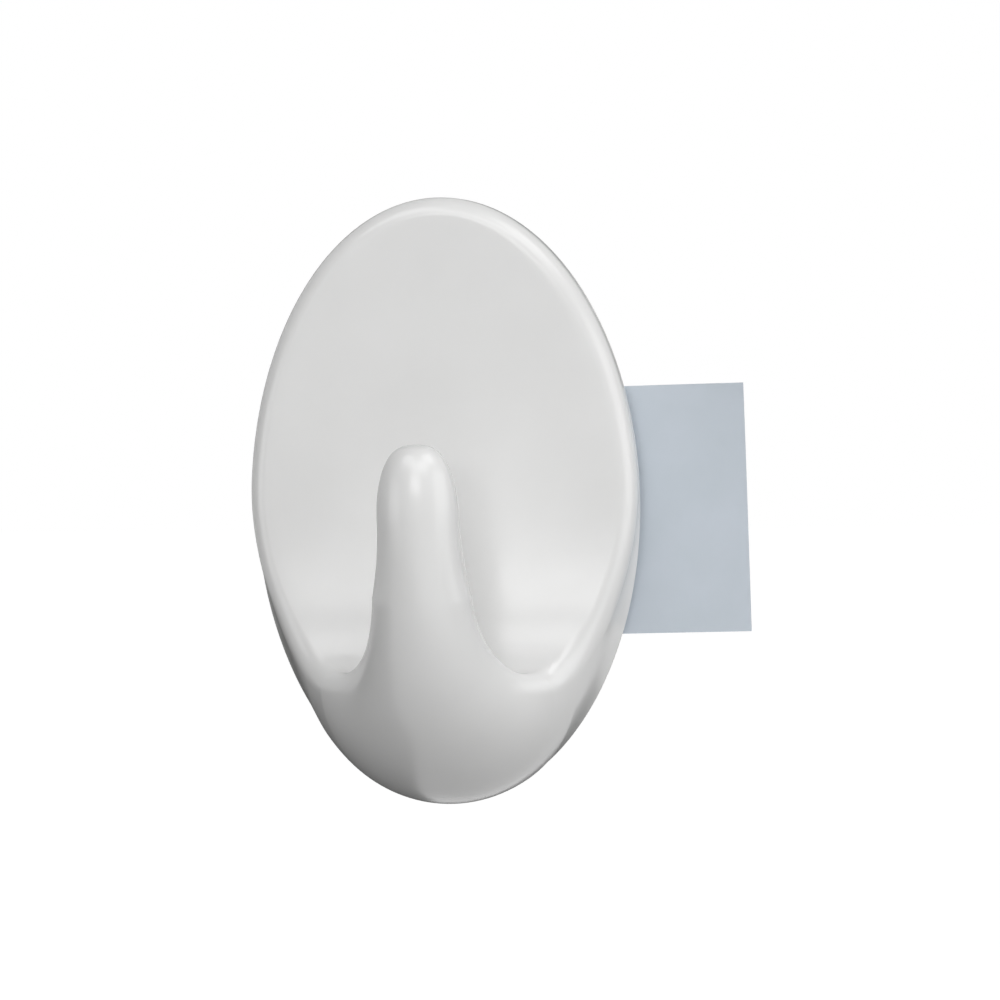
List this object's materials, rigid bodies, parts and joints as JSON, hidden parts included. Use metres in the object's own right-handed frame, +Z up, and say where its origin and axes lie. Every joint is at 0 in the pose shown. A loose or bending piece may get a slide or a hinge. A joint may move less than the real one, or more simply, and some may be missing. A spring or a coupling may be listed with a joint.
{
  "type": "adhesive wall hook",
  "caption": "Oval stick-on wall hook: a glossy moulded plate whose foot curves forward and up into one round-tipped finger, with foam tape and a release liner behind.",
  "frame": {"origin": "on the outer face of the release liner, which is the wall's plane, behind the middle of the oval plate", "axes": "+Z up the plate, -Y out of the wall towards the finger, +Y into the wall, +X to the right seen from the front"},
  "size_m": [0.0492, 0.0213, 0.06],
  "materials": {
    "white_plastic": "polished injection moulding",
    "adhesive": "clear tacky coat on white foam",
    "white_foam": "closed-cell foam, cut edges",
    "liner_film": "coated release film, satin"
  },
  "bodies": {
    "hook": {"hook_body": "white_plastic", "hook_adhesive": "adhesive", "foam_pad": "white_foam", "wall_adhesive": "adhesive"},
    "liner": {"release_liner": "liner_film"}
  },
  "joints": [
    {"name": "liner_lift", "type": "slide", "parent": "hook", "child": "liner", "axis": [0, 1, 0], "range_m": [0, 0.03]}
  ]
}
